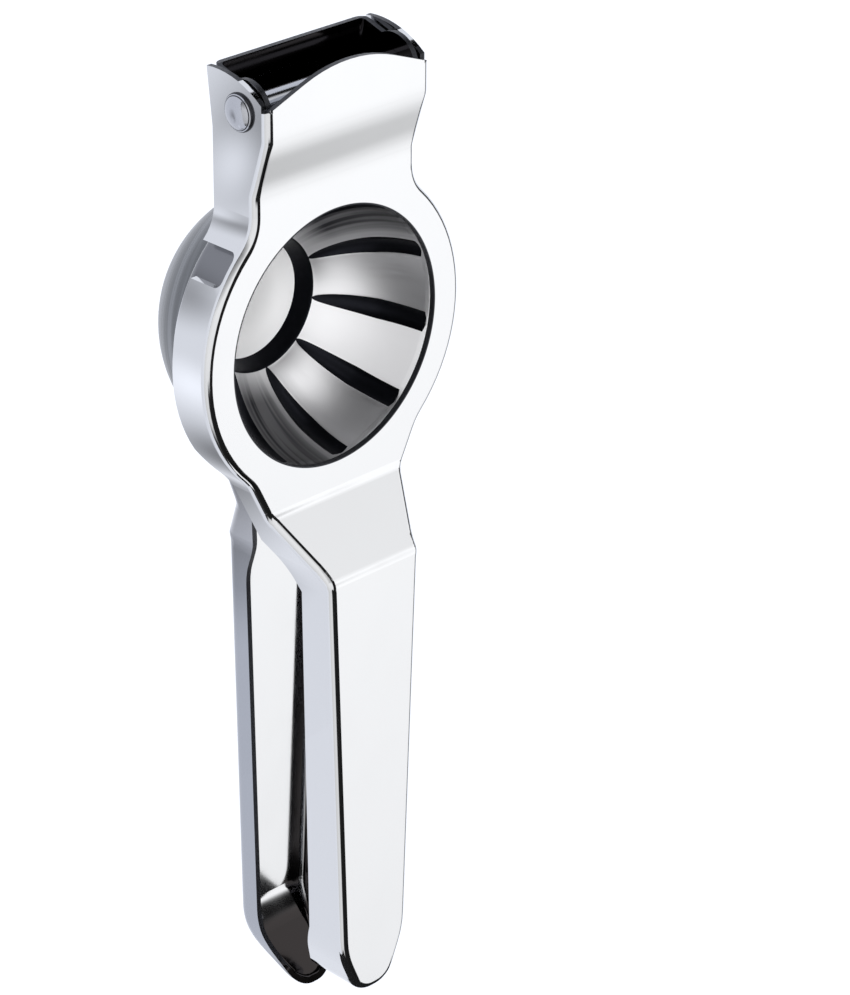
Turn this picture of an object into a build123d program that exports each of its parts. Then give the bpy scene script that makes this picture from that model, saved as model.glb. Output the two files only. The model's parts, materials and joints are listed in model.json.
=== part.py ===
"""A hinged lemon squeezer: two folded steel arms on one riveted pin.

The press arm carries a fluted press cup, and the bowl arm carries a strainer bowl. The
squeezer is closed and lies on a table with its bowl down, resting on the bowl and on the tip
of the bowl arm. X runs across it, +Y towards the hinge and +Z up.

Both arms are drawn in one frame, the arm frame: x across, y towards the hinge, z out of the
press arm's ring face, and its origin at the centre of the ring. That frame leans by the small
angle at which the closed squeezer lies on the table. Depths are measured below the ring face.
"""

import os
from math import asin, atan2, cos, hypot, pi, radians, sin, sqrt, tan

from build123d import *

# ------------------------------------------------------------ driving dimensions, in mm
# Both arms
sheet = 1.2                     # stainless sheet
fold_round = 3.0                # where a face or an edge steps up or down
handle_width = 25.4             # handles where they meet the shoulder
shoulder_start = -9.1           # the shoulder leaves the ring, below the ring's lowest point
shoulder_end = 12.9             # and ends here, where the handle begins
shoulder_round = 12.0           # corners between ring, shoulder and handle
neck_round = 9.0                # corner between neck and ring
tip_width = 18.8                # handles where their tips begin to narrow
tip_slant = 11.5                # length over which they narrow
tip_flat = 9.2                  # across the end of the tip
tip_round = 20.0                # corners where the tip begins
tip_corner = 6.0                # corners at its end
flare_length = 15.0             # the walls deepen over this length at the tips

# Press arm
press_bend = 0.4                # inside radius of the folded edge
ring_radius = 35.1              # outside of the ring
ring_face = 7.5                 # from there to the hole into the press cup
neck_width = 43.8               # across the neck, at the hinge
press_length = 151.0            # from ring centre to tip
hinge_face_rise = 3.9           # hinge end of the face stands above the ring
ring_land = 0.4                 # the face stays level this far past the ring, to the hinge side
hinge_slope = 12.2              # length over which it climbs to the hinge face
shoulder_fold = -0.5            # it climbs to the handle from here, below the ring's lowest point
crown_start = 1.4               # corners of the face's top edge, past the pin
crown_rise = 8.3                # the top edge's straight sides would meet this far above them
crown_round = 34.0              # round between those sides
handle_rise = 11.4              # handle face stands above the ring
ring_wall = 10.0                # depth of the back edge round the ring
ring_wall_end = -16.4           # which ends here, below the ring's lowest point
shoulder_wall = 6.6             # depth of the back edge beside the shoulder
shoulder_wall_start = -7.1      # below the ring's lowest point
shoulder_wall_end = 7.9
neck_wall = 11.7                # depth of the back edge beside the neck
hinge_wall = 13.1               # depth of the back edge at the hinge end
handle_wall = 8.8               # side wall below the shoulder
handle_wall_start = 17.4        # below the ring's lowest point
flare_wall = 10.4               # side wall where it starts to deepen towards the tip
tip_wall = 14.9                 # side wall at the tip
flange_end = 7.1                # back corner of the hinge flanges, past the pin
flange_bulge = 2.0              # how far their top edge bulges
notch_drop = 2.7                # relief notch, below the corner of neck and ring
notch_width = 6.2
notch_depth = 1.8               # it reaches forward to this depth
notch_round = 1.5

# Hinge pin
pin_height = 52.6               # axis, along the arm from the ring's centre
pin_depth = 3.8                 # axis below the ring face
pin_diameter = 5.0
pin_clearance = 0.05            # all round the pin in the bowl arm's bores
rivet_clearance = 0.01          # all round the pin where it is riveted into the press arm
head_diameter = 8.4
head_height = 2.0
head_chamfer = 0.5

# Bowl arm
bowl_bend = 1.2                 # inside radius of the folded edge
overhang = 7.5                  # its tip runs past the press arm's tip
nest_gap = 0.4                  # between the two arms' hinge flanges
ring_gap = 0.8                  # between the two arms' ring walls
ear_gap = 0.3                   # between the flanges round the pin and the press arm's face
rim_gap = 0.8                   # between the cup's rim and the walls' front edge
back_depth = 13.6               # back of hinge and ring
back_fold = 0.4                 # it steps down to the handle from here, below the ring's lowest point
back_slope_end = 11.0           # to here
handle_back = 20.2              # back of the handle there
scoop_depth = 21.8              # and at the scooped tip
scoop_length = 12.9             # from that corner to the tip
scoop_turn = 45.0               # degrees by which the scoop turns up
scoop_round = 12.0              # outside radius of its corner
back_end = 7.1                  # top edge of the back plate, past the pin
ear_turn = 30.0                 # degrees below the pin where the flange leaves the round
nest_front = 7.6                # depth of the front edge behind the press arm's shoulder
nest_start = -11.1              # where that edge starts to drop, below the ring's lowest point
nest_end = -1.6                 # where it has dropped
nest_hold = 0.9                 # and where it drops on to the handle
tray_start = 19.9               # where the handle's low wall begins
tray_front = 14.5               # depth of its front edge there
tray_front_end = 15.7           # and where it rises to the tip
tray_round = 15.0               # corners at both places
tip_front = 7.3                 # depth of the front edge at the tip

# Press cup and strainer bowl
cup_sheet = 1.0                 # stainless sheet of both
cup_rim = 3.9                   # width of the cup's rim, behind the press arm's face
cup_collar = 1.0                # straight wall under the rim
cup_lead = 0.6                  # slope from there to the fluted shell
cup_inset = 0.9                 # the shell is this much smaller than the hole
cup_centre = 0.7                # depth of the shell's centre
nose_radius = 15.0              # the shell ends and the step to the nose begins
nose_foot = 13.0                # radius at the foot of the step
nose_step = 3.6                 # height of the step
nose_flat = 7.3                 # radius of the nose's flat
nose_drop = 3.6                 # the flat lies this far below the foot of the step
flute_count = 10
flute_turn = -12.0              # degrees from the right-hand side to the first flute
flute_radius = 3.0              # tool that presses a flute
flute_sweep = 60.0              # degrees over which it is pressed
flute_depth = 1.3               # at the rim
flute_lift = 0.05               # the tool clears the shell by this at the nose
bowl_seat = 3.6                 # from the outside of the bowl arm's ring to the bowl's outside
bowl_centre = 9.6               # depth of the bowl's centre
bowl_gap = 0.1                  # between the bowl and the hole that it hangs in
drain_diameter = 3.0
drain_rows = ((1, 0.0), (6, 17.0), (12, 33.0))  # holes in a row, and degrees off the axis

# ------------------------------------------------------------ sizes that follow from them
square_on = 0.05                # cosine under which a face counts as standing square to another
neck_half = neck_width / 2
hole_radius = ring_radius - ring_face
upper_fold = ring_radius + ring_land + hinge_slope
crown_end = pin_height + crown_start

nested_ring = ring_radius - sheet - ring_gap
nested_neck = neck_half - sheet - nest_gap
bowl_radius = nested_ring - bowl_seat
bowl_length = press_length + overhang
seat_depth = back_depth - sheet
wall_front = sheet + cup_sheet + rim_gap
ear_radius = pin_depth + hinge_face_rise - sheet - ear_gap


def below_ring(distance):
    """Place along the arm, this far below the ring's lowest point, towards the tips."""
    return -ring_radius - distance


# The closed squeezer touches the table with its bowl and with the scoop's rounded corner.
scoop_corner = scoop_length - bowl_length
back_lean = atan2(scoop_depth - handle_back, below_ring(back_slope_end) - scoop_corner)
scoop_tangent = scoop_round * tan((back_lean + radians(scoop_turn)) / 2)
rest_reach = scoop_round * sin(back_lean) - scoop_tangent * cos(back_lean) - scoop_corner
rest_drop = scoop_depth - scoop_tangent * sin(back_lean) - scoop_round * cos(back_lean) - bowl_centre
rest_angle = asin((bowl_radius - scoop_round) / hypot(rest_reach, rest_drop)) - atan2(rest_drop, rest_reach)
hinge_end = (pin_height + back_end) * cos(rest_angle) + back_depth * sin(rest_angle)
tip_end = tip_front * sin(rest_angle) - bowl_length * cos(rest_angle)
ring_height = bowl_radius + bowl_centre * cos(rest_angle)

arm = Plane(
    origin=(0, -(hinge_end + tip_end) / 2, ring_height),
    x_dir=(1, 0, 0),
    z_dir=(0, -sin(rest_angle), cos(rest_angle)),
)
side = Plane(origin=arm.origin, x_dir=arm.y_dir, z_dir=arm.x_dir)
ring_axis = Axis(arm.origin, arm.z_dir)
pin_plane = Plane(origin=arm.from_local_coords((0, pin_height, -pin_depth)), z_dir=arm.x_dir)

trim_end = pin_height + ring_radius / 2  # no sheet is kept from here on
blank_end = pin_height + ring_radius    # blanks run past the hinge end
blank_tip = 2 * press_length            # past the tips
blank_deep = 2 * ring_radius            # past the walls' edges
blank_wide = 2 * ring_radius            # and past the sides, before they are trimmed


def arm_plan(ring, neck, length):
    """Outline of an arm seen from its face: ring, neck, shoulder, handle and rounded tip."""
    shoulder_top = below_ring(shoulder_start)
    shoulder_foot = below_ring(shoulder_end)
    widest = handle_width / 2
    slant = (sqrt(ring**2 - shoulder_top**2) - widest) / (shoulder_top - shoulder_foot)
    inner_end = shoulder_top / 2
    inner = widest + slant * (inner_end - shoulder_foot)
    with BuildSketch() as plan:
        Circle(ring)
        with BuildLine():
            Polyline(
                (-neck, 0), (-neck, blank_end), (neck, blank_end), (neck, 0),
                (inner, inner_end), (widest, shoulder_foot), (tip_width / 2, tip_slant - length),
                (tip_flat / 2, -length), (-tip_flat / 2, -length), (-tip_width / 2, tip_slant - length),
                (-widest, shoulder_foot), (-inner, inner_end),
                close=True,
            )
        make_face()
        fillet(plan.vertices().group_by(Axis.Y)[1], tip_round)
        fillet(plan.vertices().group_by(Axis.Y)[0], tip_corner)
        fillet(plan.vertices().filter_by_position(Axis.Y, sheet, ring), neck_round)
        fillet(plan.vertices().filter_by_position(Axis.Y, shoulder_foot - sheet, inner_end), shoulder_round)
    return plan.sketch


def side_region(edge, rounds, reach):
    """Side view of all that lies between a stepped edge, its corners rounded, and a level."""
    with BuildSketch() as region:
        with BuildLine():
            Polyline(*edge, (edge[-1][0], reach), (edge[0][0], reach), close=True)
        make_face()
        for corner, round_radius in zip(edge[1:-1], rounds):
            fillet(region.vertices().sort_by_distance(corner)[0], round_radius)
    return region.sketch


def folded_edges(blank, outward):
    """Edges between the faces that look outward and the side walls, all but the open end."""
    fronts = blank.faces().filter_by(lambda face: face.normal_at().dot(outward) > square_on)
    walls = blank.faces().filter_by(lambda face: abs(face.normal_at().dot(outward)) < square_on)
    ends = walls.filter_by(lambda face: face.normal_at().dot(arm.y_dir) > 1 - square_on)
    return (fronts.edges() & walls.edges()) - ends.edges()


# ------------------------------------------------------------ press arm
# One sheet: a stepped face with a ring, and walls folded back all round but at the hinge end.
press_plan = arm_plan(ring_radius, neck_half, press_length)
press_region = side_region(
    [
        (blank_end + sheet, hinge_face_rise), (upper_fold, hinge_face_rise),
        (ring_radius + ring_land, 0), (below_ring(shoulder_fold), 0),
        (below_ring(shoulder_end), handle_rise), (-blank_tip, handle_rise),
    ],
    [fold_round, fold_round, fold_round, fold_round],
    -blank_deep,
)

with BuildPart() as press_blank:
    with BuildSketch(arm):
        add(press_plan)
    extrude(amount=blank_deep, both=True)
    with BuildSketch(side):
        add(press_region)
    extrude(amount=blank_wide, both=True, mode=Mode.INTERSECT)
    fillet(folded_edges(press_blank, arm.z_dir), press_bend + sheet)

with BuildPart() as press_hollow:
    with BuildSketch(arm):
        add(press_plan)
        offset(amount=-sheet)
    extrude(amount=blank_deep, both=True)
    with BuildSketch(side):
        add(press_region)
        offset(amount=-sheet)
    extrude(amount=blank_wide, both=True, mode=Mode.INTERSECT)
    fillet(folded_edges(press_hollow, arm.z_dir), press_bend)

neck_end = sqrt(ring_radius**2 - neck_half**2)
notch_top = neck_end - notch_drop
notch_middle = notch_top - notch_width / 2
press_edge = [
    (blank_end + sheet, hinge_face_rise), (trim_end, hinge_face_rise),
    (trim_end, -hinge_wall), (pin_height + flange_end, -hinge_wall),
    (upper_fold, -neck_wall), (notch_middle, -neck_wall),
    (notch_middle, -ring_wall), (below_ring(ring_wall_end), -ring_wall),
    (below_ring(shoulder_wall_start), -shoulder_wall), (below_ring(shoulder_wall_end), -shoulder_wall),
    (below_ring(handle_wall_start), handle_rise - handle_wall),
    (flare_length - press_length, handle_rise - flare_wall),
    (-press_length, handle_rise - tip_wall), (-blank_tip, handle_rise - tip_wall),
]

with BuildPart() as press_arm:
    add(press_blank.part)
    add(press_hollow.part, mode=Mode.SUBTRACT)
    # Behind the walls' back edge
    with BuildSketch(side):
        with BuildLine():
            Polyline(
                *press_edge, (-blank_tip, -2 * blank_deep), (blank_end + sheet, -2 * blank_deep),
                close=True,
            )
        make_face()
    extrude(amount=blank_wide, both=True, mode=Mode.SUBTRACT)
    # The relief notches
    with BuildSketch(side):
        with Locations((notch_middle, -notch_depth)):
            RectangleRounded(notch_width, 2 * ring_wall, notch_round, align=(Align.CENTER, Align.MAX))
    extrude(amount=blank_wide, both=True, mode=Mode.SUBTRACT)
    # The face's top edge arches up between its corners.
    with BuildSketch(arm.offset(hinge_face_rise)) as above_crown:
        with BuildLine():
            Polyline(
                (-neck_half, crown_end), (0, crown_end + crown_rise), (neck_half, crown_end),
                (neck_half, blank_end + sheet), (-neck_half, blank_end + sheet),
                close=True,
            )
        make_face()
        fillet(above_crown.vertices().sort_by_distance((0, crown_end))[0], crown_round)
    extrude(amount=-press_bend - sheet, mode=Mode.SUBTRACT)
    # The flanges' top edges bulge between the face's corners and the back corners.
    with BuildSketch(side.offset(neck_half), side.offset(-neck_half)):
        with BuildLine():
            SagittaArc((crown_end, hinge_face_rise), (pin_height + flange_end, -hinge_wall), flange_bulge)
            Polyline(
                (pin_height + flange_end, -hinge_wall), (blank_end + sheet, -hinge_wall),
                (blank_end + sheet, hinge_face_rise), (crown_end, hinge_face_rise),
            )
        make_face()
    extrude(amount=press_bend + sheet, both=True, mode=Mode.SUBTRACT)
    # The hole into the cup, and the bores for the pin
    with BuildSketch(arm):
        Circle(hole_radius)
    extrude(amount=-2 * sheet, mode=Mode.SUBTRACT)
    with BuildSketch(pin_plane):
        Circle(pin_diameter / 2 + rivet_clearance)
    extrude(amount=blank_wide, both=True, mode=Mode.SUBTRACT)

# ------------------------------------------------------------ bowl arm
# One sheet as well: a stepped back with a hole for the bowl, and walls folded forward. Its
# hinge flanges and ring wall nest inside those of the press arm.
bowl_plan = arm_plan(nested_ring, nested_neck, bowl_length)
bowl_region = side_region(
    [
        (blank_end + sheet, -back_depth), (below_ring(back_fold), -back_depth),
        (below_ring(back_slope_end), -handle_back), (scoop_corner, -scoop_depth),
        (scoop_corner - 2 * scoop_length, 2 * scoop_length * tan(radians(scoop_turn)) - scoop_depth),
    ],
    [fold_round, fold_round, scoop_round],
    blank_deep,
)

with BuildPart() as bowl_blank:
    with BuildSketch(arm):
        add(bowl_plan)
    extrude(amount=blank_deep, both=True)
    with BuildSketch(side):
        add(bowl_region)
    extrude(amount=blank_wide, both=True, mode=Mode.INTERSECT)
    fillet(folded_edges(bowl_blank, -arm.z_dir), bowl_bend + sheet)

with BuildPart() as bowl_hollow:
    with BuildSketch(arm):
        add(bowl_plan)
        offset(amount=-sheet)
    extrude(amount=blank_deep, both=True)
    with BuildSketch(side):
        add(bowl_region)
        offset(amount=-sheet)
    extrude(amount=blank_wide, both=True, mode=Mode.INTERSECT)
    fillet(folded_edges(bowl_hollow, -arm.z_dir), bowl_bend)

ear_side = ear_radius * cos(radians(ear_turn))
ear_foot = pin_depth + ear_radius * sin(radians(ear_turn))
bowl_edge = [
    (pin_height + back_end, -blank_deep), (pin_height + back_end, -seat_depth),
    (pin_height + ear_side, -ear_foot), (pin_height, -pin_depth), (pin_height, -wall_front),
    (below_ring(nest_start), -wall_front), (below_ring(nest_end), -nest_front),
    (below_ring(nest_hold), -nest_front), (below_ring(tray_start), -tray_front),
    (flare_length - bowl_length, -tray_front_end), (-bowl_length, -tip_front), (-blank_tip, -tip_front),
]

with BuildPart() as bowl_arm:
    add(bowl_blank.part)
    add(bowl_hollow.part, mode=Mode.SUBTRACT)
    # Kept are the walls behind their front edge, and a round ear at the pin.
    with BuildSketch(side) as kept:
        with BuildLine():
            Polyline(*bowl_edge, (-blank_tip, -blank_deep), close=True)
        make_face()
        nest_corners = kept.vertices().filter_by_position(Axis.X, below_ring(nest_hold + sheet), 0)
        fillet(nest_corners, fold_round)
        tray_end = below_ring(tray_start - sheet)
        fillet(kept.vertices().filter_by_position(Axis.X, sheet - bowl_length, tray_end), tray_round)
        with Locations((pin_height, -pin_depth)):
            Circle(ear_radius)
    extrude(amount=blank_wide, both=True, mode=Mode.INTERSECT)
    # The hole that the bowl hangs in, and the bores for the pin
    with BuildSketch(arm.offset(-seat_depth)):
        Circle(sqrt(bowl_radius**2 - (seat_depth - bowl_centre)**2) + bowl_gap)
    extrude(amount=sheet, both=True, mode=Mode.SUBTRACT)
    with BuildSketch(pin_plane):
        Circle(pin_diameter / 2 + pin_clearance)
    extrude(amount=blank_wide, both=True, mode=Mode.SUBTRACT)


# ------------------------------------------------------------ press cup
# Pressed from one sheet: a rim behind the press arm's face, a fluted shell, a step and a nose.
def meridian(turn):
    """Plane through the ring's axis: x outward at a turn in degrees from the right, y up."""
    outward = arm.x_dir * cos(radians(turn)) + arm.y_dir * sin(radians(turn))
    return Plane(origin=arm.origin, x_dir=outward, z_dir=outward.cross(arm.z_dir))


def on_sphere(radius, centre_depth, turn):
    """Point of a sphere's profile, at a turn in radians off the axis."""
    return (radius * sin(turn), -centre_depth - radius * cos(turn))


cup_radius = hole_radius - cup_inset
rim_back = sheet + cup_sheet
shell_start = rim_back + cup_collar + cup_lead
shell_turn = pi / 2 - asin((shell_start - cup_centre) / cup_radius)
nose_turn = asin(nose_radius / cup_radius)
nose_edge = on_sphere(cup_radius, cup_centre, nose_turn)
nose_corner = (nose_foot, nose_edge[1] - nose_step)
nose_floor = nose_corner[1] - nose_drop

with BuildSketch() as cup_hollow:
    with BuildLine():
        Polyline(
            (0, nose_floor), (0, -sheet), (hole_radius, -sheet), (hole_radius, -rim_back - cup_collar),
            on_sphere(cup_radius, cup_centre, shell_turn),
        )
        ThreePointArc(
            on_sphere(cup_radius, cup_centre, shell_turn),
            on_sphere(cup_radius, cup_centre, (shell_turn + nose_turn) / 2),
            nose_edge,
        )
        Line(nose_edge, nose_corner)
        TangentArc((nose_flat, nose_floor), nose_corner, tangent=(1, 0))
        Line((nose_flat, nose_floor), (0, nose_floor))
    make_face()

with BuildSketch() as cup_outside:
    add(cup_hollow.sketch)
    offset(amount=cup_sheet)
    with Locations((0, -sheet)):
        Rectangle(hole_radius + cup_rim, cup_sheet, align=(Align.MIN, Align.MAX))
        Rectangle(blank_wide, blank_deep, align=(Align.MIN, Align.MAX), mode=Mode.INTERSECT)


def flutes(tool_radius):
    """Round bars that lie in the flutes, from the collar down to the nose."""
    path_radius = cup_radius - flute_radius - flute_lift
    shift = (flute_depth + flute_lift) / sin(shell_turn - nose_turn)
    with BuildPart() as bars:
        for number in range(flute_count):
            plane = meridian(flute_turn + 360 / flute_count * number)
            middle = plane.from_local_coords((shift * cos(nose_turn), shift * sin(nose_turn) - cup_centre))
            with BuildSketch(Plane(origin=middle, x_dir=plane.x_dir, z_dir=plane.y_dir)):
                with Locations((path_radius, 0)):
                    Circle(tool_radius)
            revolve(axis=Axis(middle, -plane.z_dir), revolution_arc=flute_sweep)
        split(bisect_by=arm.offset(-rim_back - cup_collar), keep=Keep.BOTTOM)
    return bars.part


with BuildPart() as cup_cavity:
    with BuildSketch(meridian(0)):
        add(cup_hollow.sketch)
    revolve(axis=ring_axis)
    add(flutes(flute_radius))

with BuildPart() as press_cup:
    with BuildSketch(meridian(0)):
        add(cup_outside.sketch)
    revolve(axis=ring_axis)
    add(flutes(flute_radius + cup_sheet))
    add(cup_cavity.part, mode=Mode.SUBTRACT)

# ------------------------------------------------------------ strainer bowl
# Half a sphere that hangs in the bowl arm by a narrow rim, with drain holes at its bottom.
bowl_middle = arm.from_local_coords((0, 0, -bowl_centre))
mouth_depth = seat_depth - cup_sheet
bowl_inside = bowl_radius - cup_sheet
mouth_turn = pi / 2 - asin((mouth_depth - bowl_centre) / bowl_inside)
bowl_rim_radius = nested_ring - sheet - bowl_bend - bowl_gap

with BuildSketch() as bowl_hollow_profile:
    with BuildLine():
        ThreePointArc(
            on_sphere(bowl_inside, bowl_centre, mouth_turn),
            on_sphere(bowl_inside, bowl_centre, mouth_turn / 2),
            on_sphere(bowl_inside, bowl_centre, 0),
        )
        Polyline(
            on_sphere(bowl_inside, bowl_centre, 0), (0, -mouth_depth),
            on_sphere(bowl_inside, bowl_centre, mouth_turn),
        )
    make_face()

drains = [
    meridian(360 / count * number).x_dir * sin(radians(turn)) - arm.z_dir * cos(radians(turn))
    for count, turn in drain_rows
    for number in range(count)
]

with BuildPart() as strainer_bowl:
    with BuildSketch(meridian(0)):
        add(bowl_hollow_profile.sketch)
        offset(amount=cup_sheet)
        with Locations((0, -mouth_depth)):
            Rectangle(bowl_rim_radius, cup_sheet, align=(Align.MIN, Align.MAX))
            Rectangle(blank_wide, blank_deep, align=(Align.MIN, Align.MAX), mode=Mode.INTERSECT)
        add(bowl_hollow_profile.sketch, mode=Mode.SUBTRACT)
    revolve(axis=ring_axis)
    with BuildSketch(*[Plane(bowl_middle + outward * bowl_radius, z_dir=outward) for outward in drains]):
        Circle(drain_diameter / 2)
    extrude(amount=2 * cup_sheet, both=True, mode=Mode.SUBTRACT)

# ------------------------------------------------------------ hinge pin
with BuildPart() as hinge_pin:
    with BuildSketch(pin_plane):
        Circle(pin_diameter / 2)
    extrude(amount=neck_half + head_height / 2, both=True)
    for outward in (1, -1):
        with BuildSketch(pin_plane.offset(outward * neck_half)):
            Circle(head_diameter / 2)
        extrude(amount=outward * head_height)
    heads = hinge_pin.faces().sort_by(Axis.X)
    chamfer(heads[0].edges() + heads[-1].edges(), head_chamfer)

# ------------------------------------------------------------ files
pieces = {
    "press_arm": press_arm,
    "press_cup": press_cup,
    "bowl_arm": bowl_arm,
    "strainer_bowl": strainer_bowl,
    "hinge_pin": hinge_pin,
}
os.makedirs("parts", exist_ok=True)
for name, piece in pieces.items():
    piece.part.label = name
    export_step(piece.part, f"parts/{name}.step")
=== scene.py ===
import bpy
import json
from math import asin, atan2, cos, exp, log, pi, radians, sin, sqrt
from mathutils import Matrix, Vector
from mathutils.bvhtree import BVHTree


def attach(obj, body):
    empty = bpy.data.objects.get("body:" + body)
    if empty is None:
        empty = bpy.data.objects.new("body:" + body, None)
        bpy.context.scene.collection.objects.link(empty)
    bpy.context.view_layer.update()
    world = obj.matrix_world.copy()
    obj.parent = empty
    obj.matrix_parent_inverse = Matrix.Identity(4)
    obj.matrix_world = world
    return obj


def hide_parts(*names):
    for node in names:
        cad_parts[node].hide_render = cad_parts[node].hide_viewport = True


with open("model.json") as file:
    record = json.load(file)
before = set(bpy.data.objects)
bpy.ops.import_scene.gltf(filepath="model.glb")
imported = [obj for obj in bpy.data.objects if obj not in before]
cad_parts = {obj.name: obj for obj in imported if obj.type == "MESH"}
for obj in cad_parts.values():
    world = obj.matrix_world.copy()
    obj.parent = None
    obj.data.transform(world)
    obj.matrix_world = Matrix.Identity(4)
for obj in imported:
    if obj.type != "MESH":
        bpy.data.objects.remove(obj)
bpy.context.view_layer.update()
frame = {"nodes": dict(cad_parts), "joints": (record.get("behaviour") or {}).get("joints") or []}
nodes = frame["nodes"]
scene = bpy.context.scene

# ------------------------------------------------------------ light tent and table top
# The squeezer lies on a lit table of white acrylic, in a tent of white cloth. A long window of
# light stands on its right and another on its left, with a black gap overhead between them, and
# a low black card stands in front of the tips, so that every polished bend gets its dark line.


def linear(colour):
    """An sRGB hex colour as the linear colour that a socket takes."""
    values = [int(colour[at:at + 2], 16) / 255 for at in (1, 3, 5)]
    return [v / 12.92 if v <= 0.04045 else ((v + 0.055) / 1.055) ** 2.4 for v in values] + [1.0]


def add(tree, kind, settings=None, links=None):
    """Adds one node: its settings by name, and what its inputs are set to or linked from.

    The inputs come in the node's own order, or by name.
    """
    node = tree.nodes.new(kind)
    for name, value in (settings or {}).items():
        setattr(node, name, value)
    inputs = links if isinstance(links, dict) else dict(enumerate(links or ()))
    for name, value in inputs.items():
        if isinstance(value, bpy.types.NodeSocket):
            tree.links.new(value, node.inputs[name])
        else:
            node.inputs[name].default_value = value
    return node


def set_stops(ramp, stops):
    """Gives a colour ramp its stops: places from 0 to 1, each with a grey level or a colour."""
    elements = ramp.color_ramp.elements
    for place, level in stops[1:-1]:
        elements.new(place)
    for element, (place, level) in zip(elements, stops):
        element.position = place
        element.color = linear(level) if isinstance(level, str) else (level, level, level, 1.0)


# What the maths, range and mix nodes are set to.
plus, times, divide = {"operation": "ADD"}, {"operation": "MULTIPLY"}, {"operation": "DIVIDE"}
smooth, in_colour = {"interpolation_type": "SMOOTHSTEP"}, {"data_type": "RGBA"}

# The arms lean on the bowl by this angle, and the tent is set out square to their faces. The
# arms' own frame starts at the ring's centre, in its face, this far from the pin.
lean = radians(7.096)
pin = Vector(frame["joints"][0]["pos_m"])
pin_along, pin_below = 0.0526, 0.0038
leaning = Matrix.Rotation(lean, 4, "X")
arm = Matrix.Translation(pin) @ leaning @ Matrix.Translation((0, -pin_along, pin_below))

world = bpy.data.worlds.new("light_tent")
scene.world = world
world.use_nodes = True
tent = world.node_tree
tent.nodes.clear()
direction = add(tent, "ShaderNodeTexCoord").outputs["Generated"]
square = add(tent, "ShaderNodeVectorRotate", {"rotation_type": "X_AXIS"}, {
    "Vector": direction, "Angle": -lean,
}).outputs["Vector"]
side = add(tent, "ShaderNodeSeparateXYZ", links=(square,)).outputs
turn = add(tent, "ShaderNodeMath", {"operation": "ARCTAN2"}, (side["Z"], side["X"])).outputs[0]

# Round the squeezer, from the table on its right (0) over the top to the table on its left (1).
half_turn = add(tent, "ShaderNodeMath", divide, (turn, pi)).outputs[0]
around = add(tent, "ShaderNodeValToRGB", links=(half_turn,))
set_stops(around, [
    (0.00, 0.04), (0.11, 0.05), (0.13, 0.60), (0.146, 0.86), (0.20, 0.86), (0.291, 0.90),
    (0.302, 0.01), (0.515, 0.01), (0.535, 0.72), (0.78, 0.70), (0.90, 0.64), (1.00, 0.60),
])

# Along it, from the tips' end of the tent (0) to the hinge's end (1), in each of the windows.
ahead = add(tent, "ShaderNodeMapRange", links=(side["Y"], -1.0, 1.0)).outputs[0]
right = add(tent, "ShaderNodeValToRGB", links=(ahead,))
set_stops(right, [
    (0.00, 0.08), (0.11, 0.10), (0.135, 0.50), (0.16, 0.60), (0.18, 0.72), (0.225, 0.855),
    (0.295, 0.955), (0.33, 1.00), (0.62, 1.00), (0.74, 0.85), (0.80, 0.80), (0.845, 0.70),
    (0.87, 0.04), (1.00, 0.03),
])
left = add(tent, "ShaderNodeValToRGB", links=(ahead,))
set_stops(left, [
    (0.00, 0.04), (0.08, 0.05), (0.14, 0.80), (0.38, 0.95), (0.64, 1.00), (0.76, 0.60),
    (0.88, 0.30), (1.00, 0.10),
])
on_left = add(tent, "ShaderNodeMath", {"operation": "GREATER_THAN"}, (half_turn, 0.40)).outputs[0]
along = add(tent, "ShaderNodeMix", in_colour, {
    "Factor": on_left, "A": right.outputs["Color"], "B": left.outputs["Color"],
}).outputs["Result"]
light = add(tent, "ShaderNodeMix", {"data_type": "RGBA", "blend_type": "MULTIPLY"}, {
    "Factor": 1.0, "A": around.outputs["Color"], "B": along,
}).outputs["Result"]

# The gap is wider towards the tips, so that the dark line on the handle's bend is wider too.
by_tips = add(tent, "ShaderNodeMapRange", links=(ahead, 0.265, 0.31, 1.0, 0.0)).outputs[0]
beside = add(tent, "ShaderNodeValToRGB", links=(half_turn,))
set_stops(beside, [(0.00, 0.0), (0.50, 0.0), (0.51, 1.0), (0.66, 1.0), (0.70, 0.0), (1.00, 0.0)])
widened = add(tent, "ShaderNodeMath", times, (by_tips, beside.outputs["Color"])).outputs[0]

# White cloth closes the gap overhead, towards both ends of the tent.
at_ends = add(tent, "ShaderNodeValToRGB", links=(ahead,))
set_stops(at_ends, [(0.00, 1.0), (0.04, 1.0), (0.055, 0.0), (0.81, 0.0), (0.84, 1.0), (1.00, 1.0)])
overhead = add(tent, "ShaderNodeValToRGB", links=(half_turn,))
set_stops(overhead, [
    (0.00, 0.0), (0.285, 0.0), (0.31, 1.0), (0.61, 1.0), (0.64, 0.0), (1.00, 0.0),
])
closed = add(tent, "ShaderNodeMath", times, (
    at_ends.outputs["Color"], overhead.outputs["Color"],
)).outputs[0]

# A low cloth also closes the corner to the front right; from behind, the faces mirror it.
in_front = add(tent, "ShaderNodeMapRange", links=(ahead, 0.15, 0.17, 1.0, 0.0)).outputs[0]
low_down = add(tent, "ShaderNodeMapRange", links=(half_turn, 0.09, 0.11, 1.0, 0.0)).outputs[0]
corner = add(tent, "ShaderNodeMath", times, (in_front, low_down)).outputs[0]

gap_level, ends_level, corner_level, tent_strength = 0.01, 0.8, 0.75, 1.8
for where, level in ((widened, gap_level), (closed, ends_level), (corner, corner_level)):
    light = add(tent, "ShaderNodeMix", in_colour, {
        "Factor": where, "A": light, "B": (level, level, level, 1.0),
    }).outputs["Result"]
glow = add(tent, "ShaderNodeBackground", links={"Color": light, "Strength": tent_strength})
add(tent, "ShaderNodeOutputWorld", links={"Surface": glow.outputs["Background"]})

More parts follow.
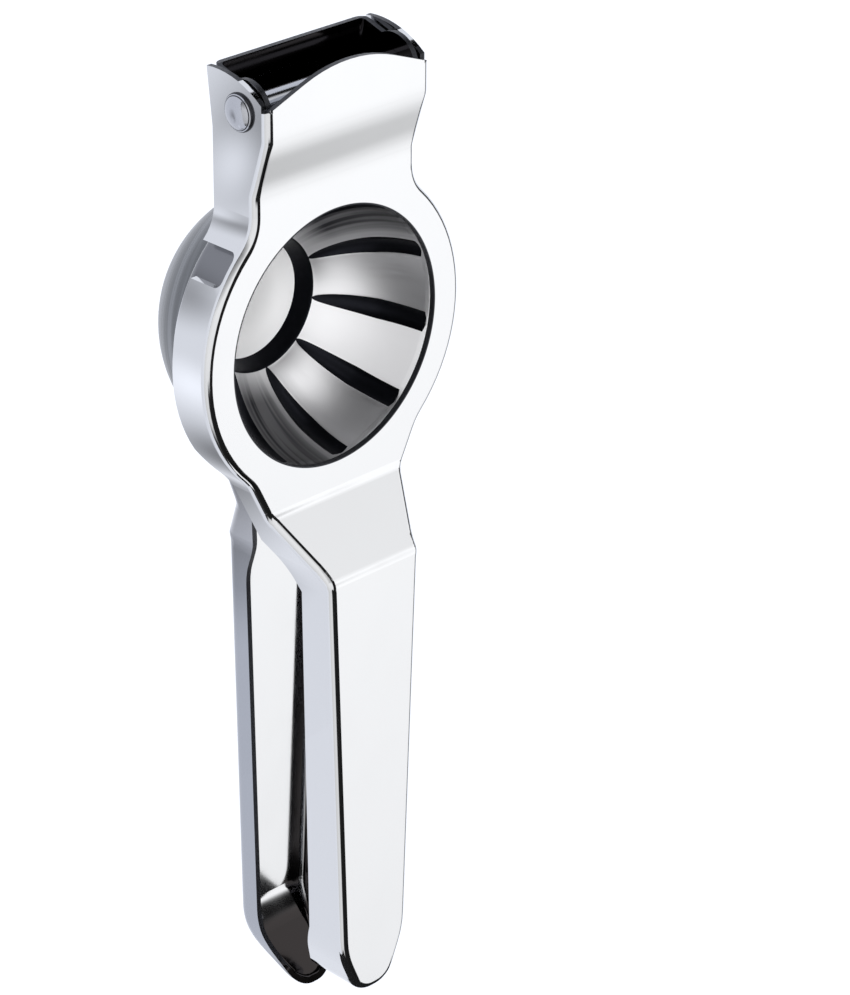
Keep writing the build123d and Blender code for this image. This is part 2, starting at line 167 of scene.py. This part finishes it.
# The table gives its own light, a little cool, and shows no shadow.
table_tint, table_level, table_size = linear("#F4F7FF"), 1.16, 40
black_base = linear("#050505")
acrylic = bpy.data.materials.new("lit_white_acrylic")
acrylic.use_nodes = True
shader = acrylic.node_tree.nodes["Principled BSDF"]
shader.inputs["Base Color"].default_value = black_base
shader.inputs["Roughness"].default_value = 0.8
shader.inputs["Emission Color"].default_value = table_tint
shader.inputs["Emission Strength"].default_value = table_level
bpy.ops.mesh.primitive_plane_add(size=table_size)
floor = bpy.context.object
floor.name = "table_top"
floor.data.materials.append(acrylic)


def set_card(name, corners, material):
    """A card that only shows in reflections, with its corners in mm."""
    mesh = bpy.data.meshes.new(name)
    mesh.from_pydata([Vector(corner) / 1000 for corner in corners], [], [(0, 1, 2, 3)])
    mesh.materials.append(material)
    card = bpy.data.objects.new(name, mesh)
    scene.collection.objects.link(card)
    card.visible_camera = False
    card.visible_diffuse = False
    card.visible_shadow = False


# A black card stands just in front of the tips, as high as the squeezer.
front_y, front_left, front_right, front_foot, front_top = -130, -40, 38, 1, 53
black = bpy.data.materials.new("black_card")
black.use_nodes = True
shader = black.node_tree.nodes["Principled BSDF"]
shader.inputs["Base Color"].default_value = black_base
shader.inputs["Roughness"].default_value = 0.9
set_card("front_card", [
    (front_left, front_y, front_foot), (front_right, front_y, front_foot),
    (front_right, front_y, front_top), (front_left, front_y, front_top),
], black)

# A shaded sheet lies beside the ring and the hinge, whose walls mirror its light and dark spots.
sheet_left, sheet_right, sheet_front, sheet_back, sheet_lift = -110, 30, -60, 125, 0.4
shaded = bpy.data.materials.new("shaded_sheet")
shaded.use_nodes = True
tree = shaded.node_tree
tree.nodes.remove(tree.nodes["Principled BSDF"])
place = add(tree, "ShaderNodeTexCoord").outputs["Object"]
level = table_level
spots = [  # each spot's centre, its reach and what it adds
    ((-0.062, 0.030, 0), 0.020, 0.40), ((-0.055, 0.076, 0), 0.010, 0.50),
    ((-0.062, 0.080, 0), 0.024, -0.65), ((-0.030, -0.002, 0), 0.032, -0.85),
]
for centre, reach, change in spots:
    away = add(tree, "ShaderNodeVectorMath", {"operation": "DISTANCE"}, (place, centre))
    spot = add(tree, "ShaderNodeMapRange", smooth, (
        away.outputs["Value"], 0.0, reach, change, 0.0,
    )).outputs[0]
    level = add(tree, "ShaderNodeMath", plus, (level, spot)).outputs[0]
lit = add(tree, "ShaderNodeEmission", links={"Color": table_tint, "Strength": level})
tree.links.new(lit.outputs["Emission"], tree.nodes["Material Output"].inputs["Surface"])
set_card("shaded_sheet", [
    (sheet_left, sheet_front, sheet_lift), (sheet_right, sheet_front, sheet_lift),
    (sheet_right, sheet_back, sheet_lift), (sheet_left, sheet_back, sheet_lift),
], shaded)

# A soft lamp, high on the left, lights what is matt, down in the cup; the mirrors don't show it.
lamp = bpy.data.lights.new("soft_lamp", "AREA")
lamp.size = 0.3
lamp.energy = 1.5
lamp_stand = bpy.data.objects.new("soft_lamp", lamp)
scene.collection.objects.link(lamp_stand)
lamp_place = Vector((-0.30, 0.20, 0.40))
lamp_turn = lamp_place.to_track_quat("Z", "Y").to_matrix().to_4x4()
lamp_stand.matrix_world = arm @ Matrix.Translation(lamp_place) @ lamp_turn
lamp_stand.visible_glossy = False

scene.view_settings.view_transform = "Standard"

# ------------------------------------------------------------ camera
# A long lens, above the squeezer and to its left, with the hinge at the top of the picture.
eye = Vector((-0.47056, 0.30748, 0.49519))
target = Vector((0.0255, -0.0451, 0.0))
tip_over = radians(-0.532)
focal_length, picture_height = 3724.5, 995  # both in pixels
sight = (target - eye).normalized()
upright = Matrix.Rotation(tip_over, 3, sight) @ Vector((0, 1, 0))
across = sight.cross(upright).normalized()
turned = Matrix((across, across.cross(sight), -sight)).transposed().to_4x4()
lens = bpy.data.cameras.new("camera")
lens.sensor_width = 36
lens.lens = focal_length * lens.sensor_width / picture_height
camera = bpy.data.objects.new("camera", lens)
scene.collection.objects.link(camera)
camera.matrix_world = arm @ Matrix.Translation(eye) @ turned
scene.camera = camera

# ------------------------------------------------------------ press arm
# One stainless sheet, 1.2 mm thick, blanked and folded down all round, with a hole for the cup
# and two relief notches. Its outside is buffed to a mirror, lengthwise, on a cloth wheel; its cut
# edges are left as the shear made them, and painted nearly black as shade.


def new_metal(name, colour, roughness, square_to=Matrix.Identity(4)):
    """A metal: its material, node tree and shader, and places in mm, square to a frame."""
    material = bpy.data.materials.new(name)
    material.use_nodes = True
    tree = material.node_tree
    shader = tree.nodes["Principled BSDF"]
    shader.inputs["Base Color"].default_value = linear(colour)
    shader.inputs["Metallic"].default_value = 1.0
    shader.inputs["Roughness"].default_value = roughness
    back = square_to.inverted()
    mm = add(tree, "ShaderNodeMapping", links={
        "Vector": add(tree, "ShaderNodeTexCoord").outputs["Object"],
        "Location": back.translation * 1000, "Rotation": back.to_euler(), "Scale": [1000] * 3,
    }).outputs["Vector"]
    return material, tree, shader, mm


def add_grain(tree, mm, sizes, detail=2.0):
    """An uneven grain over places in mm, with spots of these sizes in mm along x, y and z."""
    scale = [1 / size for size in sizes]
    spread = add(tree, "ShaderNodeMapping", links={"Vector": mm, "Scale": scale})
    return add(tree, "ShaderNodeTexNoise", links={
        "Vector": spread.outputs["Vector"], "Scale": 1.0, "Detail": detail,
    }).outputs["Fac"]


def set_roughness(tree, shader, grain, low, high, spread=(0.3, 0.7)):
    """Roughness that follows a grain, from low to high over this spread of it."""
    rough = add(tree, "ShaderNodeMapRange", links=(grain, *spread, low, high)).outputs[0]
    tree.links.new(rough, shader.inputs["Roughness"])


def add_relief(tree, shader, reliefs, normal=None):
    """Relief on the surface: pairs of a height from 0 to 1 and what 1 stands for, in mm."""
    for height, full in reliefs:
        links = {"Height": height, "Distance": full / 1000, "Strength": 1.0}
        if normal is not None:
            links["Normal"] = normal
        normal = add(tree, "ShaderNodeBump", links=links).outputs["Normal"]
    tree.links.new(normal, shader.inputs["Normal"])


# Buffed to a mirror: a clear reflection, faintly wavy, crossed by hair-fine lengthwise lines and
# here and there a duller patch. The sizes are in mm.
mirror_colour, edge_painted_shade_colour = "#CECFD1", "#2E2F33"
patch_size, wave_size, line_size = (14, 20, 14), (16, 26, 16), (0.35, 30, 0.35)
wave_height, line_height = 0.03, 0.0006
patch_spread = (0.35, 0.65)
mirror, tree, shader, mm = new_metal("mirror_buffed_stainless", mirror_colour, 0.07, arm)
set_roughness(tree, shader, add_grain(tree, mm, patch_size), 0.045, 0.10, patch_spread)
waves = add_grain(tree, mm, wave_size, 1.0)
lines = add_grain(tree, mm, line_size, 3.0)

# A thin, dark line round the hole's edge is painted into the mirror's colour: painted shade.
hole_edge, edge_width, edge_fade = 27.6, 0.3, 0.05
line_end = hole_edge + edge_width
parts = add(tree, "ShaderNodeSeparateXYZ", links=(mm,)).outputs
flat_place = add(tree, "ShaderNodeCombineXYZ", links=(parts["X"], parts["Y"])).outputs[0]
from_centre = add(tree, "ShaderNodeVectorMath", {"operation": "LENGTH"}, (flat_place,))
edge_painted_shade = add(tree, "ShaderNodeMapRange", links=(
    from_centre.outputs["Value"], line_end - edge_fade, line_end + edge_fade, 1.0, 0.0,
)).outputs[0]
tone = add(tree, "ShaderNodeMix", in_colour, {
    "Factor": edge_painted_shade, "A": linear(mirror_colour), "B": linear(edge_painted_shade_colour),
}).outputs["Result"]
tree.links.new(tone, shader.inputs["Base Color"])

# The press rolls the sheet softly over the two folds of the hinge slope, so the tilt that starts
# and ends at once in the folds is taken off, and a gradual one is put on.
slope_rise, slope_run, slope_start = 3.9, 12.2, 35.5
outer_roll, inner_roll, fold = 2.5, 5.0, 0.5
slope_end, slope = slope_start + slope_run, atan2(slope_rise, slope_run)
tilt = 0.0
for way, start, end, to_tilt in (
    (smooth, slope_start - outer_roll, slope_start + inner_roll, slope),
    (smooth, slope_end - inner_roll, slope_end + outer_roll, -slope),
    ({}, slope_start - fold, slope_start + fold, -slope),
    ({}, slope_end - fold, slope_end + fold, slope),
):
    part = add(tree, "ShaderNodeMapRange", way, (parts["Y"], start, end, 0.0, to_tilt))
    tilt = add(tree, "ShaderNodeMath", plus, (tilt, part.outputs[0])).outputs[0]
rolled = add(tree, "ShaderNodeVectorRotate", {"rotation_type": "X_AXIS"}, {
    "Vector": add(tree, "ShaderNodeNewGeometry").outputs["Normal"], "Angle": tilt,
}).outputs["Vector"]
add_relief(tree, shader, [(waves, wave_height), (lines, line_height)], rolled)

# Sheared edges, painted nearly black beside the mirror as shade, with the shear's burnished and
# torn bands as grain and roughness. The rivet's painted dark rings use it too.
sheared_edge_and_painted_shade, tree, shader, mm = new_metal("sheared_edge_painted_shade", "#3A3B3F", 0.35)
torn = add_grain(tree, mm, (0.25, 0.25, 1.2), 3.0)
set_roughness(tree, shader, torn, 0.28, 0.5)
add_relief(tree, shader, [(torn, 0.02)])

sheet = 0.0012
skin_lift = 1e-6  # a ray into the sheet starts this far under its skin


def dress_sheet(obj, skin, edge, deepest):
    """Gives a folded sheet its skin, and its cut edges theirs.

    Under a cut edge the metal is deeper than in any bend: deeper than this many sheets.
    """
    mesh = obj.data
    mesh.materials.clear()
    mesh.materials.append(skin)
    mesh.materials.append(edge)
    places = [vertex.co for vertex in mesh.vertices]
    tree = BVHTree.FromPolygons(places, [face.vertices for face in mesh.polygons])
    for face in mesh.polygons:
        depth = tree.ray_cast(face.center - face.normal * skin_lift, -face.normal)[3]
        face.material_index = 0 if depth is not None and depth < deepest * sheet else 1


dress_sheet(nodes["press_arm"], mirror, sheared_edge_and_painted_shade, 3.5)

# ------------------------------------------------------------ press cup
# One stainless sheet, drawn into a shell with ten flutes, a step and a flat nose, and spot-welded
# by its rim behind the ring. The press leaves the shell satin. The flutes and the step are painted
# almost black: painted shade.

# Drawn and satin: soft, long highlights, with fine lines from rim to nose. Painted light and
# shade:
# the middle and the petals on one side are painted bright, and the wall by the rim elsewhere is
# painted dark grey, in faint streaks of painted reflection.
satin, tree, shader, mm = new_metal("drawn_satin_stainless", "#D6D7DA", 0.28, arm)
painted_light_colour, painted_shade_colour = "#F1F1F3", "#26262A"
painted_light_way = radians(-28)
painted_light_side = (cos(painted_light_way), sin(painted_light_way), 0)
streak_size, drawn_size, drawn_height = (1.6, 60, 1), (0.5, 12, 1), 0.0008
mean_radius = 22.0  # of the shell, where its pattern is unrolled

# Where each tone starts and where it is whole: as the cosine of the turn from the painted-light
# side, or as a height in mm.
painted_shade_side_span, rim_span = (0.75, 0.30), (-26.5, -18.0)
bloom_span, bloom_height_span, bloom_levels = (0.93, 0.975), (-26.0, -14.0), (0.2, 0.75)
streak_span, streak_levels = (0.40, 0.60), (0.86, 1.0)
parts = add(tree, "ShaderNodeSeparateXYZ", links=(mm,)).outputs
flat_place = add(tree, "ShaderNodeCombineXYZ", links=(parts["X"], parts["Y"])).outputs[0]
out = add(tree, "ShaderNodeVectorMath", {"operation": "NORMALIZE"}, (flat_place,)).outputs[0]
facing = add(tree, "ShaderNodeVectorMath", {"operation": "DOT_PRODUCT"}, (
    out, painted_light_side,
)).outputs["Value"]
painted_shade_side = add(tree, "ShaderNodeMapRange", smooth, (facing, *painted_shade_side_span, 0.0, 1.0)).outputs[0]
near_rim = add(tree, "ShaderNodeMapRange", smooth, (parts["Z"], *rim_span, 0.0, 1.0)).outputs[0]
painted_shade = add(tree, "ShaderNodeMath", times, (painted_shade_side, near_rim)).outputs[0]
angle = add(tree, "ShaderNodeMath", {"operation": "ARCTAN2"}, (parts["Y"], parts["X"])).outputs[0]
swept = add(tree, "ShaderNodeMath", times, (angle, mean_radius)).outputs[0]
unrolled = add(tree, "ShaderNodeCombineXYZ", links=(swept, parts["Z"])).outputs[0]
streaks = add(tree, "ShaderNodeMapRange", smooth, (
    add_grain(tree, unrolled, streak_size, 1.0), *streak_span, *streak_levels,
)).outputs[0]
streaked_painted_shade = add(tree, "ShaderNodeMath", times, (painted_shade, streaks)).outputs[0]
tone = add(tree, "ShaderNodeMix", in_colour, {
    "Factor": streaked_painted_shade, "A": linear(painted_light_colour), "B": linear(painted_shade_colour),
}).outputs["Result"]
tree.links.new(tone, shader.inputs["Base Color"])
drawn = add_grain(tree, unrolled, drawn_size, 3.0)
set_roughness(tree, shader, drawn, 0.33, 0.40)
add_relief(tree, shader, [(drawn, drawn_height)])

# The petal that faces the lamp has a matt bloom, strongest by the rim, and mirrors less.
bloom = add(tree, "ShaderNodeMapRange", smooth, (facing, *bloom_span, 0.0, 1.0)).outputs[0]
bloom_level = add(tree, "ShaderNodeMapRange", smooth, (
    parts["Z"], *bloom_height_span, *bloom_levels,
)).outputs[0]
matt = add(tree, "ShaderNodeMath", times, (bloom, bloom_level)).outputs[0]
mirroring = add(tree, "ShaderNodeMath", {"operation": "SUBTRACT"}, (1.0, matt)).outputs[0]
tree.links.new(mirroring, shader.inputs["Metallic"])

# Painted shade: almost black between the bright petals, with a fine, dull grain.
flute_painted_shade, tree, shader, mm = new_metal("flute_painted_shade_stainless", "#202126", 0.35, arm)
grain = add_grain(tree, mm, (0.4, 0.4, 0.4), 3.0)
set_roughness(tree, shader, grain, 0.3, 0.48)
add_relief(tree, shader, [(grain, 0.006)])

# Coined and blasted: a matt, nearly white nose, that hardly mirrors anything.
coined, tree, shader, mm = new_metal("blasted_stainless", "#FDFDFE", 0.5, arm)
shader.inputs["Metallic"].default_value = 0.1
grain = add_grain(tree, mm, (0.15, 0.15, 0.15), 2.0)
set_roughness(tree, shader, grain, 0.45, 0.6)
add_relief(tree, shader, [(grain, 0.002)])

# Sizes in mm. The shell is a sphere that flares out at the rim. A round tool presses the flutes,
# which run out towards the step, and lies over their lips a little softly.
cup_sheet = 0.95
rim = ((31.4, 1.25), (28.0, 1.25), (27.7, 1.3), (27.6, 1.5))  # radius, and depth below the face
collar, collar_flute = (27.55, 1.85), 0.25
shell_radius, shell_centre, shell_flare = 26.7, 0.7, 0.75
step_radius = 15.0
step = ((14.75, 23.05), (14.6, 23.4), (13.15, 25.95))
nose_foot, nose_flat, nose_round, nose_depth = (13.0, 26.4), 7.3, 6.31, 29.99
nose_rings = (4.0, 1.5)
shell_start, nose_start = radians(87.0), asin(step_radius / shell_radius)
flute_count, first_flute = 10, radians(-12.0)
flute_tool, flute_deep, flute_run, flute_lip = 3.0, 0.9, radians(30.0), 0.04
least_deep, least_half, least_radius = 0.01, 0.2, 12.0
flute_rows, petal_columns, nose_rows = 44, 12, 12
cup_sharp = radians(38)
across_flute = (
    -1.35, -1.2, -1.08, -1.0, -0.9, -0.7, -0.4, 0.0, 0.4, 0.7, 0.9, 1.0, 1.08, 1.2, 1.35,
)

# The profile from the rim to the nose: radius, depth below the face, the turn on the shell, how
# deep the flutes are pressed, and which material the band that starts there has.
profile = [(radius, depth, shell_start, 0.0, "petal") for radius, depth in rim]
profile.append((*collar, shell_start, collar_flute, "flute"))
last_row = flute_rows - 1
for row in range(flute_rows):
    turn = shell_start + (nose_start - shell_start) * row / last_row
    deep = flute_deep * min(1.0, max(0.0, (turn - nose_start) / flute_run)) + least_deep
    reach = shell_radius + shell_flare * (1 - row / last_row) ** 3
    band = "flute" if row < last_row else "step"
    profile.append((reach * sin(turn), shell_centre + reach * cos(turn), turn, deep, band))
profile += [(radius, depth, nose_start, 0.0, "step") for radius, depth in step]
round_depth = nose_depth - nose_round
whole_swing = atan2(nose_foot[0] - nose_flat, nose_foot[1] - round_depth)
for row in range(nose_rows + 1):
    swing = whole_swing * (1 - row / nose_rows)
    radius, depth = nose_flat + nose_round * sin(swing), round_depth + nose_round * cos(swing)
    profile.append((radius, depth, nose_start, 0.0, "nose"))
profile += [(radius, nose_depth, nose_start, 0.0, "nose") for radius in nose_rings]

corners, faces, bands = [], [], []
for radius, depth, turn, deep, band in profile:
    half = max(sqrt(2 * flute_tool * deep - deep**2), least_half)
    edge = half / max(radius, least_radius)
    for flute in range(flute_count):
        middle = first_flute + 2 * pi * flute / flute_count
        places = [(middle + place * edge, place) for place in across_flute]
        last = places[-1][0]
        gap = 2 * pi / flute_count - 2 * across_flute[-1] * edge
        places += [(last + gap * part / petal_columns, None) for part in range(1, petal_columns)]
        for angle, place in places:
            pressed = 0.0
            if deep > 0 and place is not None:
                height = sqrt(flute_tool**2 - (place * half) ** 2) - (flute_tool - deep)
                pressed = flute_lip * log(1 + exp(height / flute_lip))
            out, down = radius + pressed * sin(turn), depth + pressed * cos(turn)
            corners.append((out * cos(angle) / 1000, out * sin(angle) / 1000, -down / 1000))
columns = len(corners) // len(profile)
per_flute = columns // flute_count
# The middle of each flute, and the step, take the painted shade.
painted_shade_columns = range(across_flute.index(-1.0), across_flute.index(1.0))
for row in range(len(profile) - 1):
    band = profile[row][4]
    this, below = row * columns, (row + 1) * columns
    for column in range(columns):
        after = (column + 1) % columns
        faces.append([this + column, this + after, below + after, below + column])
        in_flute = band == "flute" and column % per_flute in painted_shade_columns
        bands.append({"step": 1, "nose": 2}.get(band, 1 if in_flute else 0))
inmost = (len(profile) - 1) * columns
corners.append((0, 0, -nose_depth / 1000))
for column in range(columns):
    faces.append([inmost + column, inmost + (column + 1) % columns, len(corners) - 1])
    bands.append(2)
mesh = bpy.data.meshes.new("fluted_cup")
mesh.from_pydata([arm @ Vector(corner) for corner in corners], [], faces)
for metal in (satin, flute_painted_shade, coined, satin, flute_painted_shade, satin):  # in the cup, then behind it
    mesh.materials.append(metal)
for face, band in zip(mesh.polygons, bands):
    face.material_index = band
mesh.shade_smooth()
mesh.set_sharp_from_angle(angle=cup_sharp)
cup = bpy.data.objects.new("fluted_cup", mesh)
scene.collection.objects.link(cup)
wall = cup.modifiers.new("sheet", "SOLIDIFY")
wall.thickness = cup_sheet / 1000
wall.offset = -1
wall.material_offset = 3  # the materials behind come three places later
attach(cup, "press_arm")
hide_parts("press_cup")

# ------------------------------------------------------------ bowl arm
# The same folded sheet, face down, nested inside the press arm's walls. Its face is buffed; its
# outer walls are only brushed, and painted grey as shade, darkest where the press arm hides them.

# Buffed inside, brushed outside: a mirror within, and walls without painted grey as shade, darkest
# in the nest. The hinge, the scoop at the tip and the inside of the handle's walls are painted
# nearly black: painted shade.
nested, tree, shader, mm = new_metal("buffed_and_brushed_stainless", "#CDCED2", 0.07)
handle_painted_shade, ring_painted_shade, nest_painted_shade, inner_painted_shade_colour = "#A2A5AC", "#C9CACF", "#76777B", "#363333"
brushed_dulling = 0.12
wall_out, wall_well_out = 4.0, 8.0  # how far a face is out, times how far it looks outward, in mm
half_length = 110.0
handle_span, scoop_span, hinge_span = (-6.0, -14.0), (-90.0, -96.0), (84.0, 88.0)
nested_gloss = (0.05, 0.11)
parts = add(tree, "ShaderNodeSeparateXYZ", links=(mm,)).outputs
along = add(tree, "ShaderNodeMapRange", links=(parts["Y"], -half_length, half_length)).outputs[0]
wall_painted_shade = add(tree, "ShaderNodeValToRGB", links=(along,))
set_stops(wall_painted_shade, [
    (0.0, handle_painted_shade), (0.46, handle_painted_shade), (0.54, ring_painted_shade), (0.76, ring_painted_shade),
    (0.79, nest_painted_shade), (1.0, nest_painted_shade),
])
own_normal = add(tree, "ShaderNodeNewGeometry").outputs["Normal"]
looks = add(tree, "ShaderNodeSeparateXYZ", links=(own_normal,)).outputs
outward = add(tree, "ShaderNodeMath", times, (looks["X"], parts["X"])).outputs[0]
on_wall = add(tree, "ShaderNodeMapRange", links=(
    outward, wall_out, wall_well_out, 0.0, 1.0,
)).outputs[0]
inner_wall = add(tree, "ShaderNodeMapRange", links=(
    outward, -wall_out, -wall_well_out, 0.0, 1.0,
)).outputs[0]
in_handle, in_scoop, in_hinge = (
    add(tree, "ShaderNodeMapRange", smooth, (parts["Y"], *span, 0.0, 1.0)).outputs[0]
    for span in (handle_span, scoop_span, hinge_span)
)
inner_painted_shade = add(tree, "ShaderNodeMath", times, (inner_wall, in_handle)).outputs[0]
for part in (in_hinge, in_scoop):
    inner_painted_shade = add(tree, "ShaderNodeMath", {"operation": "MAXIMUM"}, (inner_painted_shade, part)).outputs[0]
inside = add(tree, "ShaderNodeMix", in_colour, {
    "Factor": inner_painted_shade, "A": linear(mirror_colour), "B": linear(inner_painted_shade_colour),
}).outputs["Result"]
tone = add(tree, "ShaderNodeMix", in_colour, {
    "Factor": on_wall, "A": inside, "B": wall_painted_shade.outputs["Color"],
}).outputs["Result"]
tree.links.new(tone, shader.inputs["Base Color"])
patches = add_grain(tree, mm, patch_size)
gloss = add(tree, "ShaderNodeMapRange", links=(patches, *patch_spread, *nested_gloss)).outputs[0]
dulled = add(tree, "ShaderNodeMath", {"operation": "MULTIPLY_ADD"}, (
    on_wall, brushed_dulling, gloss,
)).outputs[0]
tree.links.new(dulled, shader.inputs["Roughness"])
waves = add_grain(tree, mm, wave_size, 1.0)
lines = add_grain(tree, mm, line_size, 3.0)
add_relief(tree, shader, [(waves, wave_height), (lines, line_height)])
dress_sheet(nodes["bowl_arm"], nested, sheared_edge_and_painted_shade, 1.7)

# ------------------------------------------------------------ strainer bowl
# One stainless sheet, 1 mm thick, spun into a bowl that hangs in the bowl arm's ring by its rim,
# with drain holes punched through its floor.

# Spun and left grey: rings of fine tool marks, some lighter, round the bowl.
spun, tree, shader, mm = new_metal("spun_grey_stainless", "#74777B", 0.3)
mark_size, band_size, mark_height = (60, 60, 0.35), (90, 90, 3.5), 0.004
marks = add_grain(tree, mm, mark_size, 4.0)
tone = add(tree, "ShaderNodeValToRGB", links=(add_grain(tree, mm, band_size),))
set_stops(tone, [
    (0.0, "#585A5D"), (0.45, "#616366"), (0.58, "#7A7C80"), (0.68, "#686A6D"), (1.0, "#606265"),
])
tree.links.new(tone.outputs["Color"], shader.inputs["Base Color"])
set_roughness(tree, shader, marks, 0.24, 0.38)
add_relief(tree, shader, [(marks, mark_height)])
bowl = nodes["strainer_bowl"]
bowl.data.materials.clear()
bowl.data.materials.append(spun)

# ------------------------------------------------------------ hinge pin
# A solid stainless rivet, 5 mm thick, pushed through both pairs of flanges and headed over at both
# ends into low domes. A dark ring round each dome, and the heads' sides, are painted shade.

# Turned and tumbled: a grey, bright dome with faint rings of turning marks.
turned_steel, tree, shader, mm = new_metal("turned_stainless", "#ABADB3", 0.12)
turning_size, turning_height = (0.18, 1, 1), 0.002
off_axis = add(tree, "ShaderNodeVectorMath", {"operation": "SUBTRACT"}, (mm, pin * 1000))
flattened = add(tree, "ShaderNodeVectorMath", times, (off_axis.outputs[0], (0, 1, 1)))
ring_place = add(tree, "ShaderNodeCombineXYZ", links=(
    add(tree, "ShaderNodeVectorMath", {"operation": "LENGTH"}, (
        flattened.outputs[0],
    )).outputs["Value"],
)).outputs[0]
turned_rings = add_grain(tree, ring_place, turning_size, 2.0)
set_roughness(tree, shader, turned_rings, 0.09, 0.2)
add_relief(tree, shader, [(turned_rings, turning_height)])

# From one head's crown to its shank: place along the axis, and radius, in mm.
half_rivet = [
    (23.85, 0.25), (23.81, 0.9), (23.69, 1.6), (23.47, 2.3), (23.15, 2.9), (22.9, 3.2),
    (22.75, 3.35), (22.62, 3.55), (22.5, 3.75), (22.3, 3.92), (22.0, 4.0), (21.9, 4.0),
    (21.9, 2.5),
]
rivet_profile = half_rivet + [(-place, radius) for place, radius in reversed(half_rivet)]
# Painted shade: the dome between these radii, and the head's side beyond this one, are painted
# dark.
painted_shade_ring, painted_shade_beyond = (3.4, 3.6), 3.8  # between these radii, and beyond this one, it is dark
segments = 64
corners, faces = [], []
for place, radius in rivet_profile:
    for segment in range(segments):
        angle = 2 * pi * segment / segments
        corners.append(pin + Vector((place, radius * cos(angle), radius * sin(angle))) / 1000)
for ring in range(len(rivet_profile) - 1):
    this, below = ring * segments, (ring + 1) * segments
    for segment in range(segments):
        after = (segment + 1) % segments
        faces.append([this + segment, below + segment, below + after, this + after])
faces.append(list(range(segments)))
faces.append(list(reversed(range(len(corners) - segments, len(corners)))))
mesh = bpy.data.meshes.new("domed_rivet")
mesh.from_pydata(corners, [], faces)
mesh.materials.append(turned_steel)
mesh.materials.append(sheared_edge_and_painted_shade)
for face in mesh.polygons:
    radius = 1000 * sqrt((face.center.y - pin.y) ** 2 + (face.center.z - pin.z) ** 2)
    dark = painted_shade_ring[0] < radius < painted_shade_ring[1] or radius > painted_shade_beyond
    face.material_index = 1 if dark else 0
mesh.shade_smooth()
mesh.set_sharp_from_angle(angle=radians(50))
rivet = bpy.data.objects.new("domed_rivet", mesh)
scene.collection.objects.link(rivet)
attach(rivet, "press_arm")
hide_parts("hinge_pin")
